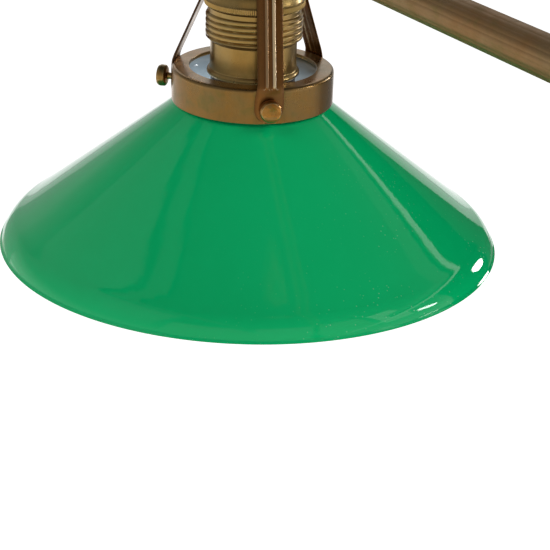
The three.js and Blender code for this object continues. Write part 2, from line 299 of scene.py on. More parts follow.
class Finish:
    """A node material round one Principled shader."""

    def __init__(self, name, **settings):
        self.material = bpy.data.materials.new(name)
        self.material.use_nodes = True
        self.tree = self.material.node_tree
        self.shader = self.tree.nodes["Principled BSDF"]
        for key, value in settings.items():
            self.set(key.replace("_", " "), value)

    def set(self, socket, value):
        target = self.shader.inputs[socket]
        if isinstance(value, bpy.types.NodeSocket):
            self.tree.links.new(value, target)
        else:
            target.default_value = value

    def node(self, kind, sockets=None, **settings):
        node = self.tree.nodes.new("ShaderNode" + kind)
        for key, value in settings.items():
            setattr(node, key, value)
        for key, value in (sockets or {}).items():
            if isinstance(value, bpy.types.NodeSocket):
                self.tree.links.new(value, node.inputs[key])
            else:
                node.inputs[key].default_value = value
        return node

    def place(self, stretch=(1, 1, 1)):
        """Object coordinates, stretched along each axis."""
        source = self.node("TexCoord").outputs["Object"]
        return self.node("Mapping", {"Vector": source, "Scale": stretch}).outputs["Vector"]

    def seed(self, spread=9.0):
        """A number that differs from piece to piece."""
        source = self.node("ObjectInfo").outputs["Random"]
        return self.math("MULTIPLY", source, spread)

    def toward(self, direction):
        """Distance from the middle of the piece along a direction."""
        source = self.node("TexCoord").outputs["Object"]
        dot = self.node("VectorMath", {0: source, 1: direction}, operation="DOT_PRODUCT")
        return dot.outputs["Value"]

    def noise(self, size_mm, vector=None, detail=4.0, roughness=0.55, distortion=0.0):
        """Cloudy value with features about size_mm across."""
        return self.node("TexNoise", {
            "Vector": vector or self.place(),
            "W": self.seed(),
            "Scale": 1 / (size_mm * MM),
            "Detail": detail,
            "Roughness": roughness,
            "Distortion": distortion,
        }, noise_dimensions="4D").outputs["Fac"]

    def math(self, operation, a, b=0.0, clamp=False):
        return self.node("Math", {0: a, 1: b}, operation=operation, use_clamp=clamp).outputs[0]

    def span(self, value, low, high, to_low=0.0, to_high=1.0):
        """Maps low..high to another span, held at its ends."""
        return self.node("MapRange", {
            "Value": value, "From Min": low, "From Max": high, "To Min": to_low, "To Max": to_high,
        }).outputs["Result"]

    def mix(self, factor, a, b, blend="MIX"):
        return self.node(
            "Mix", {0: factor, 6: a, 7: b}, data_type="RGBA", blend_type=blend, clamp_factor=True
        ).outputs[2]

    def relief(self):
        return self.node("Attribute", attribute_name="relief").outputs["Fac"]

    def bump(self, height, depth_mm, strength=1.0):
        made = self.node("Bump", {
            "Height": height, "Distance": depth_mm * MM, "Strength": strength,
        })
        self.set("Normal", made.outputs["Normal"])


def srgb(red, green, blue):
    """Linear colour from 0-255 display values."""
    channels = []
    for value in (red, green, blue):
        v = value / 255
        channels.append(v / 12.92 if v <= 0.04045 else ((v + 0.055) / 1.055) ** 2.4)
    return (*channels, 1.0)


def aged_brass(name, body, warm, olive, dark, crest_colour, roughness,
               patina=1.0, hollow_dark=0.7, wear_and_sheen=0.3, coat=0.25, streak=(1, 1, 0.25)):
    """Lacquered old brass: clouds of colour, specks, crests lightened as wear and painted
    highlight, and darkened hollows.
    """
    f = Finish(name, Metallic=1.0, Coat_Weight=coat, Coat_Roughness=0.12)
    clouds = f.noise(16, detail=6, roughness=0.6)
    blotches = f.noise(7, detail=5, roughness=0.65, distortion=0.6)
    streaks = f.noise(1.6, f.place(streak), detail=5, roughness=0.7)
    specks = f.noise(0.9, detail=3, roughness=0.8)
    colour = f.mix(f.span(clouds, 0.35, 0.68, 0, patina), body, warm)
    colour = f.mix(f.span(blotches, 0.52, 0.72, 0, 0.75 * patina), colour, olive)
    colour = f.mix(f.span(streaks, 0.5, 0.8, 0, 0.2), colour, dark)
    colour = f.mix(f.span(specks, 0.62, 0.76, 0, 0.3 * patina), colour, dark)
    relief = f.relief()
    # Crests take the lighter colour: partly wear, partly painted highlight. Hollows turn darker.
    colour = f.mix(f.span(relief, 0.3, 1.8, 0, wear_and_sheen), colour, crest_colour)
    colour = f.mix(f.span(relief, -1.0, -4.5, 0, hollow_dark), colour, dark)
    f.set("Base Color", colour)
    rough = f.span(blotches, 0.3, 0.75, roughness - 0.07, roughness + 0.1)
    rough = f.math("ADD", rough, f.span(streaks, 0.3, 0.8, -0.03, 0.04))
    f.set("Roughness", rough)
    f.bump(f.math("ADD", f.math("MULTIPLY", specks, 0.5), streaks), 0.006)
    return f.material


def green_glass():
    """Green cased glass with faint drawn streaks, pinholes and a little dust."""
    f = Finish("green_cased_glass", IOR=1.5)
    drift = f.noise(38, detail=3)
    drawn = f.noise(5, f.place((1, 1, 0.15)), detail=4, roughness=0.6)
    colour = f.mix(f.span(drift, 0.3, 0.7), GREEN_DEEP, GREEN_BODY)
    colour = f.mix(f.span(drawn, 0.5, 0.8, 0, 0.25), colour, GREEN_PALE)
    dust = f.node("TexVoronoi", {"Vector": f.place(), "Scale": 480.0, "Randomness": 1.0})
    patchy = f.span(f.noise(22, detail=4), 0.42, 0.6)
    dusty_side = f.span(f.toward(DUSTY_SIDE), 0.035, 0.095, 0.04, 1.0)
    patchy = f.math("MULTIPLY", patchy, dusty_side)
    speck = f.math("MULTIPLY", f.span(dust.outputs["Distance"], 0.17, 0.08), patchy)
    colour = f.mix(f.math("MULTIPLY", speck, 0.5), colour, DUST)
    f.set("Base Color", colour)
    gloss = f.span(drift, 0.3, 0.7, 0.03, 0.06)
    f.set("Roughness", f.math("ADD", gloss, f.math("MULTIPLY", speck, 0.4)))
    f.bump(f.math("ADD", drawn, f.math("MULTIPLY", drift, 2)), 0.03)
    return f.material


def opal_glass():
    """Milk-white lining with soft clouding, and a painted glow that grows towards the lit side."""
    f = Finish("opal_glass", IOR=1.5)
    clouds = f.span(f.noise(24), 0.3, 0.7)
    f.set("Base Color", f.mix(clouds, srgb(206, 218, 226), srgb(222, 230, 234)))
    f.set("Roughness", f.span(f.noise(9), 0.3, 0.7, 0.06, 0.13))
    # Painted glow: bluish emission rising towards the lit side, so the neck's far wall looks lit.
    f.set("Emission Color", srgb(178, 204, 222))
    f.set("Emission Strength", f.span(f.toward(LIT_SIDE), 0.006, 0.026, 0.0, 0.34))
    f.bump(f.noise(14), 0.02)
    return f.material


def porcelain():
    """Glazed white ceramic with fine pitting."""
    f = Finish("glazed_porcelain", IOR=1.52)
    clouds = f.span(f.noise(6), 0.35, 0.7)
    f.set("Base Color", f.mix(clouds, srgb(232, 228, 214), srgb(214, 206, 186)))
    f.set("Roughness", f.span(f.noise(2), 0.3, 0.7, 0.12, 0.3))
    f.bump(f.noise(0.7), 0.01)
    return f.material


def zinc_steel():
    """Plated steel with drawn lines and dull clouds."""
    f = Finish("plated_steel", Metallic=1.0)
    lines = f.noise(0.8, f.place((1, 1, 0.1)))
    clouds = f.span(f.noise(5), 0.3, 0.7)
    f.set("Base Color", f.mix(clouds, srgb(150, 152, 154), srgb(188, 188, 184)))
    f.set("Roughness", f.span(lines, 0.3, 0.7, 0.28, 0.48))
    f.bump(lines, 0.01)
    return f.material


def bulb_glass():
    """Soft white lamp glass."""
    f = Finish("soft_white_bulb", IOR=1.48)
    clouds = f.span(f.noise(12), 0.3, 0.7)
    f.set("Base Color", f.mix(clouds, srgb(244, 242, 234), srgb(234, 234, 230)))
    f.set("Roughness", f.span(f.noise(4), 0.3, 0.7, 0.08, 0.16))
    f.bump(f.noise(9), 0.015)
    return f.material


brown_brass = aged_brass(
    "brown_brass", srgb(134, 112, 72), srgb(152, 110, 48), srgb(116, 108, 60),
    srgb(84, 60, 36), srgb(180, 154, 114), 0.3, patina=1.1, hollow_dark=0.4, wear_and_sheen=0.35,
)
# Straps: a near-white crest colour at full strength paints highlight on the bends and ribs.
dark_brass = aged_brass(
    "dark_brass", srgb(132, 92, 50), srgb(138, 92, 44), srgb(114, 86, 48),
    srgb(54, 38, 22), srgb(248, 228, 192), 0.3, patina=0.6, hollow_dark=0.85, wear_and_sheen=1.0,
)
pale_brass = aged_brass(
    "pale_brass", srgb(170, 144, 90), srgb(176, 138, 74), srgb(150, 130, 74),
    srgb(96, 72, 40), srgb(196, 168, 114), 0.32, patina=0.8, hollow_dark=0.25,
)
screw_brass = aged_brass(
    "screw_brass", srgb(146, 126, 80), srgb(184, 120, 40), srgb(112, 104, 66),
    srgb(70, 54, 32), srgb(204, 184, 138), 0.28, patina=1.3, wear_and_sheen=0.9,
)
stem_brass = aged_brass(
    "stem_brass", srgb(158, 132, 94), srgb(162, 124, 80), srgb(148, 132, 82),
    srgb(128, 102, 70), srgb(174, 148, 110), 0.55, hollow_dark=0.25, coat=0.04, streak=(1, 1, 0.08),
)
# Darker brass, laid as painted shade under the holder's bead and inside its bore.
painted_shade_brass = aged_brass(
    "painted_shade_brass", srgb(70, 56, 32), srgb(76, 54, 28), srgb(58, 52, 32),
    srgb(36, 28, 18), srgb(96, 76, 48), 0.45,
)
green = green_glass()
opal = opal_glass()
ceramic = porcelain()
plated = zinc_steel()
lamp_glass = bulb_glass()


# ----------------------------------------------------------------- placing


def middle(node):
    """Centre of a CAD piece."""
    lo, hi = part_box(node)
    return (lo + hi) / 2


def ring_frame(side):
    """Frame of one light: the top centre of its gallery ring, turned to face out."""
    lo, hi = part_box(f"gallery_ring_{side}")
    centre = (lo + hi) / 2
    turn = 0 if side == "a" else math.pi
    return Matrix.Translation((centre.x, centre.y, hi.z)) @ Matrix.Rotation(turn, 4, "Z")


def level_frame(z):
    """A height on the lamp's upright centre line."""
    return Matrix.Translation((0, 0, z))


def fit(piece, matrix, body, slot, nodes, *materials):
    """Places a piece, gives it its finish, and hides the CAD pieces it stands for."""
    piece.matrix_world = matrix
    for material in materials:
        piece.data.materials.append(material)
    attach(piece, body)
    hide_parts(*nodes)
    return piece


# --------------------------------------------------------------------- shade


def cone_z(r):
    """Height of the shade's outer face on its straight part."""
    return CONE_FOOT_Z + (CONE_FOOT_R - r) * CONE_SLOPE


def face_slope(r):
    """Slope in degrees at a radius: straight, a slight flare, then the rolled rim."""
    straight = math.degrees(math.atan(CONE_SLOPE))
    if r < ROLL_START_R:
        along = max(0.0, (r - ROLL_START_R + FLARE_BAND) / FLARE_BAND)
        return straight - FLARE * along ** 2
    start = math.sin(math.radians(straight - FLARE))
    return math.degrees(math.asin(start + (r - ROLL_START_R) / ROLL_R))


def edge_curve(depth=0.0, step=0.6):
    """Last of the cone and the rolled rim, or the same line a depth inside it."""
    r = ROLL_START_R - FLARE_BAND - 1
    z = cone_z(r)
    points = []
    while z > RIM_Z + LIP_HEIGHT:
        slope = math.radians(face_slope(r))
        points.append((r - depth * math.sin(slope), z - depth * math.cos(slope)))
        r += step * math.cos(slope)
        z -= step * math.sin(slope)
    return points


def shade_outline():
    """Outer face down to the rim, then the inner face back up to the neck."""
    drop = GLASS / math.cos(math.atan(CONE_SLOPE))
    outer_edge = edge_curve()
    inner_edge = [p for p in edge_curve(GLASS) if p[1] > RIM_Z + LIP_HEIGHT]
    outer = [
        (NECK_BORE_R + 1.4, -1.8), (30, -1.8, 0.9), (30.4, -3.4, 0.6), (NECK_R, -4.4, 0.8),
        (NECK_R, cone_z(NECK_R) + 0.4, 2.2), outer_edge[0],
    ]
    rim = [
        outer_edge[-1], (RIM_R, RIM_Z + 0.1, 0.4), (RIM_R - GLASS + 0.3, RIM_Z + 0.1, 0.9),
        inner_edge[-1],
    ]
    inner = [
        inner_edge[0], (NECK_BORE_R + 1.4, cone_z(NECK_BORE_R + 1.4) - drop, 2.4),
        (NECK_BORE_R - 1.4, -12, 3), (NECK_BORE_R - 1.7, -7, 4), (NECK_BORE_R - 0.8, -3.2, 3),
        (NECK_BORE_R + 1.4, -1.8),
    ]
    down = rounded(outer, steps=5) + outer_edge[1:-1]
    up = inner_edge[-2:0:-1] + rounded(inner, steps=5)
    line = down + rounded(rim, steps=5) + up
    return [tuple(p) for p in resampled(line, 3.0)]


def blown(r, z, angle):
    """The slight unevenness of a pressed glass cone."""
    spot = Vector((math.cos(angle) * 2.1, math.sin(angle) * 2.1, z / 60))
    sag = noise.noise(spot) * 0.16 if r > NECK_R + 2 else 0
    return r + sag * min(1.0, (RIM_R + 2 - r) / 6), z


def shade(side):
    """Cased glass cone: green outside, opal lining inside."""
    outline = shade_outline()
    piece = turned(f"shade_glass_{side}", outline, 224, blown)
    fit(piece, ring_frame(side), "frame", "green_glass", [f"shade_{side}"], green, opal)
    for polygon in piece.data.polygons:
        c = polygon.center / MM
        r = math.hypot(c.x, c.y)
        inside = polygon.normal.z < -0.2 and c.z < -5 and r < RIM_R - 1.2
        polygon.material_index = 1 if inside or r < NECK_R - 1 else 0


# -------------------------------------------------------------------- gallery


def gallery_ring(side):
    """Flanged ring that grips the neck of the glass."""
    bore = RING_R - RING_WALL
    outline = rounded([
        (RING_R, -RING_HEIGHT, 0.35), (RING_R, 0, 1.7), (RING_HOLE_R, 0, 0.35),
        (RING_HOLE_R, -1.5, 0.35), (bore, -1.5, 0.3), (bore, -RING_HEIGHT, 0.35),
    ], closed=True, steps=6)
    straps = [strap_angle(number) for number in (1, 2, 3)]

    def flattened(r, z, angle):
        """A flat outside each screw hole, for the strap's tab."""
        nearest = max(math.cos(angle - strap) for strap in straps)
        return (min(r, (RING_R - FLAT_DEPTH) / nearest) if r > bore + 0.3 else r), z

    piece = turned(f"ring_{side}", outline, 320, flattened, closed=True)
    fit(piece, ring_frame(side), "frame", "brown_brass", [f"gallery_ring_{side}"], brown_brass)


def strap_line():
    """Outer face of a strap in side view, from its foot on the crown to the tab's end."""
    tab_r = RING_R + TAB_PROUD
    top_r = STRAP_FOOT_R - STRAP_LEAN * STRAP_TOP_Z
    points = rounded([
        (6.4, STRAP_TOP_Z), (top_r, STRAP_TOP_Z, 2.2), (tab_r, -0.2, 2.4),
        (tab_r, SCREW_Z - TAB_R + 0.1),
    ], steps=8)
    return resampled(points, 0.55)


def tab_half_width(z):
    """Half width of the strap at a height: straight, then round about the screw."""
    if z > SCREW_Z + 1.5:
        return STRAP_HALF + (TAB_R - STRAP_HALF) * held((1.5 - z) / 6)
    below = max(0.0, SCREW_Z - z)
    return math.sqrt(max(0.02, TAB_R ** 2 - below ** 2))


def rib_height(w, z):
    """Raised half-round ribs that die away just above the ring."""
    end = held((z - 0.2) / 1.6)
    fade = math.sqrt(max(0.0, 1 - (1 - end) ** 2))
    start = held((STRAP_TOP_Z - 1.2 - z) / 2.0)
    off = min(abs(w - RIB_PITCH / 2), abs(w + RIB_PITCH / 2)) / RIB_R
    return RIB_HEIGHT * math.sqrt(max(0.0, 1 - off * off)) * fade * start


def strap_columns():
    """Places across the strap's face, closer together over the ribs."""
    half = STRAP_HALF
    rib = [RIB_R * math.sin(math.radians(a)) for a in (-90, -70, -48, -24, 0, 24, 48, 70, 90)]
    left = [-RIB_PITCH / 2 + offset for offset in rib]
    right = [RIB_PITCH / 2 + offset for offset in rib]
    return [-half, -half + 0.35, -3.4, *left, 0.0, *right, 3.4, half - 0.35, half]


def strap(side, number):
    """Ribbed band bent over the ring, with a round tab under its thumbscrew."""
    line = strap_line()
    bm = bmesh.new()
    loops = []
    columns = strap_columns()
    for i, point in enumerate(line):
        ahead = line[min(i + 1, len(line) - 1)] - line[max(i - 1, 0)]
        normal = Vector((-ahead.y, ahead.x)).normalized()
        half = tab_half_width(point.y)
        curl = held((3 - point.y) / 5)
        rise = STRAP_SIDE_LEAN[number - 1] * (point.y - SCREW_Z)
        last = i == len(line) - 1
        loop = []
        for face in (1, -1):
            for w in columns[::face]:
                across = w * half / STRAP_HALF if point.y < 2 else w
                edge = max(0.0, abs(w) - STRAP_HALF + 0.35) / 0.35
                lift = rib_height(w, point.y) if face == 1 else -STRAP_T
                lift += -face * 0.22 * edge - (face * 0.2 if last else 0)
                spot = point + normal * lift
                bow = curl * across * across / (2 * RING_R)
                loop.append(bm.verts.new(Vector((spot.x - bow, across + rise, spot.y)) * MM))
        loops.append(loop)
    add_loops(bm, loops)
    bm.faces.new(loops[0])
    bm.faces.new(list(reversed(loops[-1])))

    def rib_sheen_edge_shade(x, y, z):
        """Sheared edges darkened as painted shade, the left strap's most; the right rib carries a
        painted highlight, the left one a weaker one.
        """
        across = y - STRAP_SIDE_LEAN[number - 1] * (z - SCREW_Z)
        if abs(across) > tab_half_width(z) - 0.5:
            return -4.2 if number == 3 else -2.4
        height = rib_height(across, z)
        if height < 0.02:
            return None
        return (height / RIB_HEIGHT) ** 2 * (2.0 if across > 0 else 0.8)

    piece = finished(f"strap_band_{number}_{side}", bm, 50, rib_sheen_edge_shade)
    matrix = ring_frame(side) @ Matrix.Rotation(strap_angle(number), 4, "Z")
    fit(piece, matrix, "frame", "dark_brass", [f"strap_{number}_{side}"], dark_brass)


def strap_angle(number):
    """Angle of a strap about its light, from the matching screw's own joint."""
    axis = JOINTS[f"screw_{number}_a_out"]["axis"]
    return math.atan2(axis[1], axis[0])


def thumbscrew(side, number):
    """Turned head with a filleted neck, on a threaded shank."""
    outline = rounded([
        (0, 29.1), (1.1, 29.1, 0.2), (1.35, 29.6, 0.2), (1.35, 32.8, 0.6), (1.6, 33.3, 0.4),
        (3.5, 33.5, 0.6), (4.3, 34.1, 0.4), (4.4, 36.2, 0.6), (3.9, 37.15, 0.4), (3.5, 37.3, 0.3),
        (2.7, 37.55, 0.5), (0, 37.9),
    ], steps=5)

    def threaded(r, z, angle):
        groove = 0.12 * math.cos(2 * math.pi * z / 0.6 - angle) if z < 32.4 and 0.5 < r else 0
        return r - max(0.0, groove), z

    fine = resample_span(outline, 29.5, 32.4, 0.15)
    piece = turned(f"screw_{number}_{side}", fine, 48, threaded)
    seat = Matrix.Translation((SCREW_OUT[number - 1] * MM, 0, SCREW_Z * MM))
    point_out = Matrix.Rotation(strap_angle(number), 4, "Z") @ seat
    matrix = ring_frame(side) @ point_out @ Matrix.Rotation(math.pi / 2, 4, "Y")
    body = f"screw_{number}_{side}"
    fit(piece, matrix, body, "pale_brass", [f"thumbscrew_{number}_{side}"], screw_brass)


def resample_span(outline, low, high, step):
    """Adds points where a thread needs them."""
    made = [outline[0]]
    for a, b in zip(outline, outline[1:]):
        inside = low <= min(a[1], b[1]) + 0.5 and max(a[1], b[1]) - 0.5 <= high
        fine = resampled([a, b], step if inside else 99)
        made.extend(tuple(p) for p in fine[1:])
    return made


def crown(side):
    """Disc under the beam that gathers the three straps."""
    outline = rounded([
        (5.3, 41.9), (12, 41.9, 0.5), (12, 43.6, 0.6), (9, 43.6, 0.3), (8.6, 43.3, 0.2),
        (5.3, 43.3),
    ], closed=True)
    piece = turned(f"crown_{side}", outline, 72, closed=True)
    fit(piece, ring_frame(side), "frame", "brown_brass", [f"strap_crown_{side}"], brown_brass)


def under_beam(r, z, angle):
    """Saddle: a top edge that follows the beam's underside."""
    if z < 49:
        return r, z
    across = r * math.sin(angle)
    seat = BEAM_ABOVE_RING - math.sqrt(max(0.0, (TUBE_R + 0.1) ** 2 - across ** 2))
    return r, min(z, seat + 0.1)


def over_beam(r, z, angle):
    """Saddle: a lower edge that follows the beam's upper side."""
    if z > BEAM_ABOVE_RING + TUBE_R - 0.5:
        return r, z
    across = r * math.sin(angle)
    seat = BEAM_ABOVE_RING + math.sqrt(max(0.0, (TUBE_R + 0.1) ** 2 - across ** 2))
    return r, max(z, seat)


def collar(side):
    """Saddle between the crown and the beam."""
    outline = rounded([
        (5.3, 45.4), (8, 45.4, 0.5), (8, 46.8, 0.3), (7.3, 47.2, 0.3), (7.3, 47.8, 0.3),
        (8, 48.3, 0.3), (8, 51, 0.2), (5.3, 51),
    ], closed=True)
    piece = turned(f"collar_{side}", outline, 96, under_beam, closed=True)
    fit(piece, ring_frame(side), "frame", "brown_brass", [f"beam_collar_{side}"], brown_brass)


def cap_nut(side):
    """Domed nut that closes the nipple above the beam."""
    seat = BEAM_ABOVE_RING + TUBE_R
    outline = rounded([
        (0, seat + 9), (3.6, seat + 8.1, 2), (6.2, seat + 5.6, 1.2), (6.4, seat + 4.6, 0.3),
        (7.4, seat + 4.3, 0.4), (7.8, seat + 3.2, 0.6), (7.8, seat - 3, 0.2), (5.3, seat - 3),
    ], steps=5)
    piece = turned(f"nut_{side}", outline, 96, over_beam)
    fit(piece, ring_frame(side), "frame", "pale_brass", [f"cap_nut_{side}"], pale_brass)


# ----------------------------------------------------------------- lamp holder


def knurled(r, z, angle):
    """Fine upright teeth round the cap's lower band."""
    if r < CAP_R - 0.3 or not CAP_Z + 0.3 < z < CAP_Z + 2.5:
        return r, z
    return r - 0.22 * abs(math.sin(KNURLS * angle / 2)), z


def holder_cap(side):
    """Upper half of the lamp holder: knurled band and stepped dome."""
    outline = rounded([
        (17.6, CAP_Z, 0.2), (CAP_R - 0.5, CAP_Z, 0.3), (CAP_R, CAP_Z + 0.5, 0.2),
        (CAP_R, CAP_Z + 2.3, 0.2),
        (CAP_R - 0.6, CAP_Z + 2.8, 0.2), (19.1, CAP_Z + 3.4, 0.5), (18.2, CAP_Z + 5.6, 1.2),
        (16.2, CAP_Z + 8.4, 2), (12.6, CAP_Z + 11, 2),
        (8.2, CAP_Z + 12.6, 0.8), (7.6, CAP_Z + 13.4, 0.4), (7.6, 41.5, 0.4), (5.3, 41.5),
        (5.3, CAP_Z + 11.6), (14.8, CAP_Z + 7.4, 1), (17.6, CAP_Z + 3),
    ], closed=True)
    piece = turned(f"holder_top_{side}", outline, KNURLS * 4, knurled, closed=True)
    fit(piece, ring_frame(side), "frame", "pale_brass", [f"holder_cap_{side}"], pale_brass)


def threaded_barrel(r, z, angle):
    """Coarse rounded thread, fading in from the plain sleeve below it."""
    if r < THREAD_R or not THREAD_LOW - 0.5 < z < THREAD_HIGH + 0.05:
        return r, z
    phase = (z / THREAD_PITCH - angle / (2 * math.pi)) % 1
    crest = 1 - abs(2 * phase - 1) ** 2.8
    fade_in = held((z - THREAD_LOW) / 1.8)
    core = BARREL_R + (THREAD_R - THREAD_DEPTH - BARREL_R) * fade_in
    return core + THREAD_DEPTH * crest * fade_in, z


def holder_barrel(side):
    """Lower half of the lamp holder: threaded, with a beaded plain sleeve."""
    bore = BARREL_R - 1
    outside = rounded([
        (bore, -9, 0.3), (BARREL_R - 0.3, -9, 0.4), (BARREL_R - 0.3, -2.9, 0.4), (18.2, -2.8, 0.4),
        (18.8, -1.9, 0.9), (18.2, -0.7, 0.9), (17.6, -0.3, 0.5), (BARREL_R, 2.2, 2.4),
        (BARREL_R, THREAD_LOW - 0.4),
    ], steps=8)
    rows = int((THREAD_HIGH - THREAD_LOW) / THREAD_STEP) + 1
    thread = [(THREAD_R, THREAD_LOW + THREAD_STEP * k) for k in range(rows)]
    inside = rounded([
        (THREAD_R - 0.6, THREAD_HIGH + 0.1), (18.5, THREAD_HIGH + 0.3, 0.2), (18.5, 24.6, 0.3),
        (17.2, 24.6, 0.2), (17.2, 27, 0.2), (bore, 27),
    ])
    outline = outside + thread + inside
    piece = turned(f"holder_sleeve_{side}", outline, 144, threaded_barrel, closed=True)
    finishes = (pale_brass, painted_shade_brass)
    fit(piece, ring_frame(side), "frame", "pale_brass", [f"holder_barrel_{side}"], *finishes)
    # Faces below the bead and inside the bore take the darker brass as painted shade.
    for polygon in piece.data.polygons:
        c = polygon.center / MM
        in_painted_shade = c.z < -2.7 or math.hypot(c.x, c.y) < bore + 0.2
        polygon.material_index = 1 if in_painted_shade else 0


def insulator(side):
    """Porcelain core of the lamp holder."""
    outline = rounded([
        (0, 24), (15.0, 24, 0.6), (15.4, 23.4, 0.4), (15.4, -8, 0.4), (14.9, -8, 0.3),
        (14.9, 18.4, 0.5), (0, 18.4),
    ])
    piece = turned(f"insulator_{side}", outline, 72)
    fit(piece, ring_frame(side), "frame", "porcelain", [f"holder_insulator_{side}"], ceramic)


def round_thread(low, high, depth, pitch=3.62):
    """Rolled lamp thread of the screw shell and the bulb's cap."""
    def shape(r, z, angle):
        if not low < z < high:
            return r, z
        fade = min(1.0, (z - low) / 1.5, (high - z) / 1.5)
        return r + depth * math.cos(2 * math.pi * z / pitch - angle) * fade, z
    return shape


def screw_shell(side):
    """Screw contact inside the holder."""
    outer = [(14.3, -6 + 0.5 * k) for k in range(49)]
    inner = [(13.8, 18 - 0.5 * k) for k in range(49)]
    piece = turned(f"shell_{side}", outer + inner, 72, round_thread(-5, 17, 0.28), closed=True)
    fit(piece, ring_frame(side), "frame", "pale_brass", [f"screw_shell_{side}"], pale_brass)


def bulb(side):
    """Opal globe on its threaded cap."""
    body = f"bulb_{side}"
    bottom = -34.5
    globe = arc(0, bottom, 22.5, -90, 50, 30)[1:]
    throat = rounded([globe[-1], (12.2, -12.4, 3), (12, -3)], steps=8)[1:]
    inside = [(11.1, -3), (11.1, -12)] + arc(0, bottom, 21.6, 50, -90, 20)[:-1]
    outline = [(0, bottom - 22.5)] + globe + throat + inside + [(0, bottom - 21.6)]
    piece = turned(f"bulb_glass_{side}", outline, 96)
    fit(piece, ring_frame(side), body, "bulb_glass", [f"bulb_envelope_{side}"], lamp_glass)
    skirt = [(13.0, -6 + 0.45 * k) for k in range(40)]
    outline = [(0, 17.4), (4.2, 17.4), (5.0, 16.9), (11, 14.6), (12.6, 13.2), (13.0, 12.2)]
    outline += list(reversed(skirt)) + [(13.0, -6.6), (12.4, -6.6), (12.3, 11.4), (0, 14)]
    piece = turned(f"bulb_base_{side}", outline, 72, round_thread(-4, 12, 0.22))
    fit(piece, ring_frame(side), body, "steel", [f"bulb_cap_{side}"], plated)


# --------------------------------------------------------- beam, stem and hub


def reeded(radius, count):
    """Lengthwise rounded reeds round a tube."""
    def shape(r, z, angle):
        if r < radius - 0.3:
            return r, z
        return radius - REED_DEPTH * (1 - abs(math.cos(count * angle / 2)) ** 0.8), z
    return shape


def reeded_tube(name, low, high, material, matrix, node):
    """A length of reeded tube with softened ends."""
    bore = TUBE_R - TUBE_WALL
    outline = [(bore, low), (TUBE_R - 0.12, low)] + [
        (TUBE_R, low + 0.3 + (high - low - 0.6) * k / 24) for k in range(25)
    ] + [(TUBE_R - 0.12, high), (bore, high)]
    piece = turned(name, outline, REEDS * 12, reeded(TUBE_R, REEDS), closed=True)
    fit(piece, matrix, "frame", "brown_brass", [node], material)


def beam():
    """Reeded tube that carries both lights."""
    lo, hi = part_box("beam")
    half = (hi.x - lo.x) / 2 / MM
    along_x = Matrix.Translation(middle("beam")) @ Matrix.Rotation(math.pi / 2, 4, "Y")
    reeded_tube("reeded_beam", -half, half, stem_brass, along_x, "beam")


def stem():
    """Reeded tube from the hub up to the eye."""
    lo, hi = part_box("stem")
    reeded_tube("reeded_stem", 0, (hi.z - lo.z) / MM, stem_brass, level_frame(lo.z), "stem")


def finial(side):
    """Turned end: spigot in the tube, flange, neck and ball."""
    sign = -1 if side == "a" else 1
    lo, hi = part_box("beam")
    end = lo.x if sign < 0 else hi.x
    outline = rounded([
        (0, -10), (TUBE_R - 1.3, -10, 0.4), (TUBE_R - 1.3, 0.3), (8.1, 0.3, 0.3), (8.4, 0.8, 0.4),
        (8.4, 2.0, 0.5), (7.4, 2.5, 0.4), (5.2, 3.0, 0.9), (3.9, 5.4, 1.2),
    ]) + arc(0, 13.5, 7.2, -57, 90, 22)[:-1] + [(0, 20.7)]
    piece = turned(f"end_ball_{side}", outline, 72)
    point_out = Matrix.Rotation(sign * math.pi / 2, 4, "Y")
    matrix = Matrix.Translation((end, 0, middle("beam").z)) @ point_out
    fit(piece, matrix, "frame", "pale_brass", [f"finial_{side}"], pale_brass)


def hub():
    """Ball with a turned neck that takes the stem."""
    ball = arc(0, 0, 13, -88, 44, 30)
    neck = [
        (9.6, 9.6, 0.6), (9.4, 10.6, 0.4), (9.4, 12.0, 0.4), (8.7, 12.8, 0.4), (8.7, 17.4, 0.5),
        (9.4, 18.2, 0.4), (9.4, 20.8, 0.6), (8.6, 22, 0.5), (TUBE_R + 0.1, 22),
    ]
    outline = [(0, -13)] + ball[:-1] + rounded([ball[-1], *neck], steps=5)
    outline += [(TUBE_R + 0.1, 14), (0, 14)]
    piece = turned("hub_ball", outline, 96)
    fit(piece, level_frame(middle("beam").z), "frame", "pale_brass", ["hub"], pale_brass)


def hub_drop():
    """Turned drop under the hub."""
    outline = rounded([
        (0, -28), (1.6, -27.7, 0.6), (2.6, -26.9, 1), (3.4, -24.6, 1.4), (2.2, -21.6, 1.2),
        (1.8, -19.4, 0.6), (3.0, -18.4, 0.5), (4.7, -17.6, 0.6), (5.2, -16.2, 0.8),
        (5.0, -14.2, 0.5), (4.4, -12.9), (0, -12.9),
    ], steps=6)
    piece = turned("hub_drop_finial", outline, 72)
    fit(piece, level_frame(middle("beam").z), "frame", "pale_brass", ["hub_drop"], pale_brass)


# ---------------------------------------------------------------- suspension


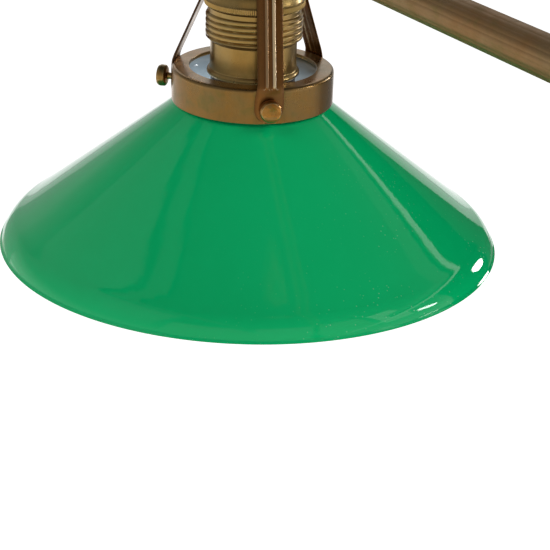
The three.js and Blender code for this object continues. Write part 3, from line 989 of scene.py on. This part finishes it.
def stem_eye():
    """Ferrule that caps the stem, with the eye above it."""
    lo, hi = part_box("stem_eye")
    height = (hi.z - lo.z) / MM
    ferrule_top = height - 2 * EYE_R - EYE_WIRE_R
    bm = bmesh.new()
    turn_into(bm, rounded([
        (0, ferrule_top + 1.4), (4.4, ferrule_top + 1.4, 0.8), (6.2, ferrule_top - 0.6, 1.2),
        (8.4, ferrule_top - 2.4, 0.6), (8.8, ferrule_top - 3.6, 0.5), (8.8, ferrule_top - 5.4, 0.4),
        (8.1, ferrule_top - 6.2, 0.4), (8.1, 3.4, 0.4), (8.8, 2.6, 0.4), (8.8, 0, 0.5),
        (TUBE_R + 0.1, 0), (TUBE_R + 0.1, ferrule_top - 7), (0, ferrule_top - 7),
    ]), 72)
    add_torus(bm, EYE_R, EYE_WIRE_R, (0, 0, ferrule_top + EYE_R))
    piece = finished("ferrule_and_eye", bm)
    fit(piece, level_frame(lo.z), "frame", "brown_brass", ["stem_eye"], brown_brass)


def link():
    """Long ring of chain between the hook and the stem."""
    lo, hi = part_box("suspension_link")
    height = (hi.z - lo.z) / MM
    bend_r = (hi.y - lo.y) / 2 / MM - LINK_WIRE_R
    bm = bmesh.new()
    straight = height - 2 * (bend_r + LINK_WIRE_R)
    add_torus(bm, bend_r, LINK_WIRE_R, (0, 0, 0), straight, around_y=False)
    piece = finished("chain_link", bm)
    centre = level_frame((lo.z + hi.z) / 2)
    fit(piece, centre, "link", "brown_brass", ["suspension_link"], brown_brass)


def hook():
    """Threaded rod and closed eye."""
    lo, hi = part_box("ceiling_hook")
    top = (hi.z - lo.z) / MM
    eye_z = EYE_R + EYE_WIRE_R
    foot = eye_z + EYE_R - 1.5
    bm = bmesh.new()
    rod = [(0, foot), (3.4, foot), (4, foot + 0.8)]
    rod += [(4, foot + 0.8 + 0.25 * k) for k in range(1, int((top - foot - 1.6) / 0.25))]
    rod += [(4, top - 0.6), (3.4, top), (0, top)]

    def cut_thread(r, z, angle):
        if r < 3.9:
            return r, z
        return r - 0.14 + 0.14 * math.cos(2 * math.pi * z / 1.25 - angle), z

    turn_into(bm, rod, 40, cut_thread)
    add_torus(bm, EYE_R, EYE_WIRE_R, (0, 0, eye_z))
    piece = finished("hook_and_rod", bm)
    fit(piece, level_frame(lo.z), "ceiling", "brown_brass", ["ceiling_hook"], brown_brass)


def canopy():
    """Spun bell with a rolled rim and two raised beads."""
    outside = rounded([
        (49.4, -0.5, 0.3), (50, -1.2, 0.4), (50, -3.4, 0.8), (48.6, -4.6, 0.6), (46.6, -5.6, 0.8),
        (46.0, -8, 1.4), (45.6, -13, 2), (44.0, -18.4, 3), (40.2, -24.4, 3), (34, -30, 3),
        (32.6, -30.6, 0.6), (31.6, -31.9, 0.6), (22, -36.9, 3), (13.4, -39.9, 1),
        (12.2, -41.0, 0.5), (9, -42, 0.6), (4.3, -42),
    ], steps=5)
    inside = rounded([
        (4.3, -41), (8.8, -41), (21.6, -35.9, 3), (33, -29.2, 3), (43, -17.9, 4), (45, -8, 1),
        (48.2, -4, 1), (48.4, -0.5),
    ], steps=5)
    piece = turned("ceiling_canopy", outside + inside, 160, closed=True)
    fit(piece, level_frame(0), "canopy", "brown_brass", ["canopy"], brown_brass)


def canopy_nut():
    """Knurled collar that grips the canopy to the rod."""
    outline = rounded([
        (4.3, -42.3), (10.2, -42.3, 0.4), (11, -43.1, 0.3), (11, -47.9, 0.3), (10.2, -48.6, 0.4),
        (8, -49.6, 0.4), (4.3, -49.6),
    ], closed=True)
    teeth = 72

    def grip(r, z, angle):
        return (r - 0.3 * abs(math.sin(teeth * angle / 2)), z) if r > 10.6 else (r, z)

    piece = turned("canopy_grip", outline, teeth * 4, grip, closed=True)
    fit(piece, level_frame(0), "canopy", "pale_brass", ["canopy_nut"], pale_brass)


def keep_cad(node, material, bevel_mm):
    """A CAD piece whose shape is right: softened edges and a real finish."""
    piece = frame["nodes"][node]
    piece.data.materials.clear()
    piece.data.materials.append(material)
    soft = piece.modifiers.new("soft edges", "BEVEL")
    soft.width = bevel_mm * MM
    soft.segments = 3
    soft.limit_method = "ANGLE"
    soft.angle_limit = math.radians(40)


def build_light(side):
    """One shade with its gallery, holder, bulb and beam end."""
    shade(side)
    gallery_ring(side)
    for number in (1, 2, 3):
        strap(side, number)
        thumbscrew(side, number)
    crown(side)
    collar(side)
    cap_nut(side)
    holder_cap(side)
    holder_barrel(side)
    insulator(side)
    screw_shell(side)
    bulb(side)
    finial(side)
    keep_cad(f"nipple_{side}", plated, 0.3)


# -------------------------------------------------------------------- studio


def outward(azimuth, elevation):
    """Direction from the object at a view azimuth and elevation, in degrees."""
    a, e = math.radians(azimuth), math.radians(elevation)
    return Vector((math.sin(a) * math.cos(e), -math.cos(a) * math.cos(e), math.sin(e)))


def add_camera():
    """The photograph's view of light a."""
    back = outward(VIEW_AZIMUTH, VIEW_ELEVATION)
    right = Vector((-back.y, back.x, 0)).normalized()
    up = back.cross(right)
    aim = ring_frame("a").translation + right * VIEW_AIM_RIGHT - Vector((0, 0, VIEW_AIM_DOWN))
    data = bpy.data.cameras.new("camera")
    data.lens = VIEW_LENS
    data.sensor_width = SENSOR
    data.clip_end = 50
    camera = linked("camera", data)
    level = Matrix((right, up, back)).transposed().to_4x4()
    roll = Matrix.Rotation(math.radians(VIEW_ROLL), 4, "Z")
    camera.matrix_world = Matrix.Translation(aim + back * VIEW_DISTANCE) @ level @ roll
    bpy.context.scene.camera = camera


def softbox(name, turn, elevation, distance, size, power, height=None):
    """Area light, placed by its turn from the camera's own azimuth."""
    data = bpy.data.lights.new(name, "AREA")
    data.shape = "RECTANGLE" if height else "SQUARE"
    data.size = size
    if height:
        data.size_y = height
    data.energy = power
    light = linked(name, data)
    way = outward(VIEW_AZIMUTH + turn, elevation)
    light.location = ring_frame("a").translation + way * distance
    light.rotation_mode = "QUATERNION"
    light.rotation_quaternion = way.to_track_quat("Z", "Y")
    light.visible_camera = False
    light.visible_glossy = False


def card(name, turns, low, high, level, distance=3.0, wave=0.0):
    """Part of the surroundings, seen only in reflections: a patch between two turns
    from the camera's azimuth and two elevations, each a number or a function of the
    turn. A wave ripples both edges by that many degrees."""
    across, up = 40, 6
    centre = ring_frame("a").translation
    bm = bmesh.new()
    rows = [[] for _ in range(up + 1)]
    for k in range(across + 1):
        turn = turns[0] + (turns[1] - turns[0]) * k / across
        below, above = [edge(turn) if callable(edge) else edge for edge in (low, high)]
        ripple = wave * math.sin(turn * 0.55)
        for i, row in enumerate(rows):
            elevation = below + (above - below) * i / up + ripple
            way = outward(VIEW_AZIMUTH + turn, elevation)
            row.append(bm.verts.new(centre + way * distance))
    for lower, upper in zip(rows, rows[1:]):
        for k in range(across):
            bm.faces.new((lower[k], lower[k + 1], upper[k + 1], upper[k]))
    patch = linked(name, mesh_from(name, bm))
    f = Finish(name, Roughness=1.0, Emission_Strength=1.0)
    f.set("Base Color", (0, 0, 0, 1))
    f.set("Specular IOR Level", 0.0)
    f.set("Emission Color", (*level, 1) if isinstance(level, tuple) else (level, level, level, 1))
    patch.data.materials.append(f.material)
    for ray in ("camera", "diffuse", "shadow", "transmission", "volume_scatter"):
        setattr(patch, f"visible_{ray}", False)


def lamp(name, turn, elevation, half_width, half_height, tilt, level):
    """A lit oval in the surroundings, tilted by so many degrees up for each across."""

    def edge(sign):
        def height(at):
            across = max(-1.0, min(1.0, (at - turn) / half_width))
            middle = elevation + tilt * (at - turn)
            return middle + sign * half_height * math.sqrt(1 - across ** 2)
        return height

    card(name, (turn - half_width, turn + half_width), edge(-1), edge(1), level, 2.8)


def wall_line(facing, rise):
    """Elevation, at each turn, of a level line on a flat wall that faces the lamp."""
    return lambda turn: math.degrees(math.atan(rise * math.cos(math.radians(turn - facing))))


def add_floor():
    """Wide white floor, far below the lamp."""
    bm = bmesh.new()
    bmesh.ops.create_circle(bm, cap_ends=True, radius=14, segments=96)
    floor = linked("floor", mesh_from("floor", bm))
    floor.location = (0, 0, -2.1)
    f = Finish("floor_paint", Roughness=0.9, Emission_Strength=1.0)
    f.set("Emission Color", (1, 1, 1, 1))
    f.set("Base Color", f.mix(f.noise(400), (0.85, 0.85, 0.85, 1), (0.9, 0.9, 0.9, 1)))
    floor.data.materials.append(f.material)


def add_world():
    """White near the horizon, fading to a dim ceiling."""
    world = bpy.data.worlds.new("studio")
    world.use_nodes = True
    tree = world.node_tree
    bpy.context.scene.world = world
    coords = tree.nodes.new("ShaderNodeTexCoord")
    split = tree.nodes.new("ShaderNodeSeparateXYZ")
    ramp = tree.nodes.new("ShaderNodeValToRGB")
    background = tree.nodes["Background"]
    tree.links.new(coords.outputs["Generated"], split.inputs[0])
    tree.links.new(split.outputs["Z"], ramp.inputs["Fac"])
    tree.links.new(ramp.outputs["Color"], background.inputs["Color"])
    stops = (
        (0.0, 0.72), (0.17, 0.47), (0.31, 0.28), (0.45, 0.17),
        (0.62, 0.13), (0.78, 0.09), (0.9, 0.075), (1.0, 0.07),
    )
    elements = ramp.color_ramp.elements
    while len(elements) < len(stops):
        elements.new(0.5)
    for element, (height, value) in zip(elements, stops):
        element.position = height
        element.color = (value, value, value, 1)


def surroundings():
    """The room that the glass and the brass mirror, as turns from the camera."""
    card("ground", (-180, 180), -89, -40, 0.10, 1.4)
    card("table_front", (-58, 24), -40, -12, (0.72, 0.62, 0.42))
    card("table_right", (24, 112), -40, -14, (0.52, 0.50, 0.46))
    card("table_far", (112, 160), -40, -14, 0.22)
    card("table_left", (-150, -58), -40, -12, (0.76, 0.73, 0.68))
    card("window_right", (64, 80), 14, 40, 1.0, 2.95)
    card("skirting_front", (-58, 40), -12, 6, (0.74, 0.68, 0.56), 3.1)
    card("wall_front", (-36, 60), 8, 42, (0.38, 0.35, 0.30), 3.1)
    card("sweep_back", (157, 205), 13, 40, 0.9)
    left = [wall_line(-65, rise) for rise in (1.76, 1.93, 2.36, 2.48)]
    card("wall_left", (-129, -42), 20, left[0], 0.28, wave=0.4)
    card("moulding_left", (-128, 5), left[0], left[1], 0.04, 2.95, 0.5)
    card("cornice_left", (-128, 5), left[1], left[2], 0.19, wave=0.6)
    card("ceiling_line_left", (-128, 5), left[2], left[3], 0.01, 2.95, 0.6)
    right = [wall_line(115, rise) for rise in (0.26, 0.53, 0.585, 0.60, 0.645, 0.80)]
    card("opening_right", (102, 140), -14, right[1], 0.0, 2.9)
    card("corner_right", (140, 166), right[0], right[1], 0.0, 2.9)
    card("corner_low", (140, 154), -14, right[0], 0.05, 2.9)
    card("corner_left", (-154, -129), -14, 12, 0.4)
    card("rail_right", (44, 143), right[1], right[2], 1.3, 2.85)
    card("rail_shadow_right", (70, 143), right[3], right[4], 0.02, 2.85)
    card("panel_right", (70, 143), right[4], right[5], 0.22, 2.9)
    lamp("lamp_right", 130, 6.6, 5.6, 6.2, -0.5, 12)
    lamp("lamp_side", 88.2, 14.6, 5.8, 2.4, -0.42, 17)


add_camera()
add_world()
add_floor()
softbox("key_right", 62, 44, 2.2, 1.1, 17.5)
softbox("key_left", -58, 46, 2.2, 1.1, 12.5)
surroundings()
for side in SIDES:
    build_light(side)
beam()
stem()
hub()
hub_drop()
stem_eye()
link()
hook()
canopy()
canopy_nut()
keep_cad("ceiling_plate", plated, 0.5)
keep_cad("terminal_block", ceramic, 0.5)

bpy.context.scene.view_settings.view_transform = "Standard"
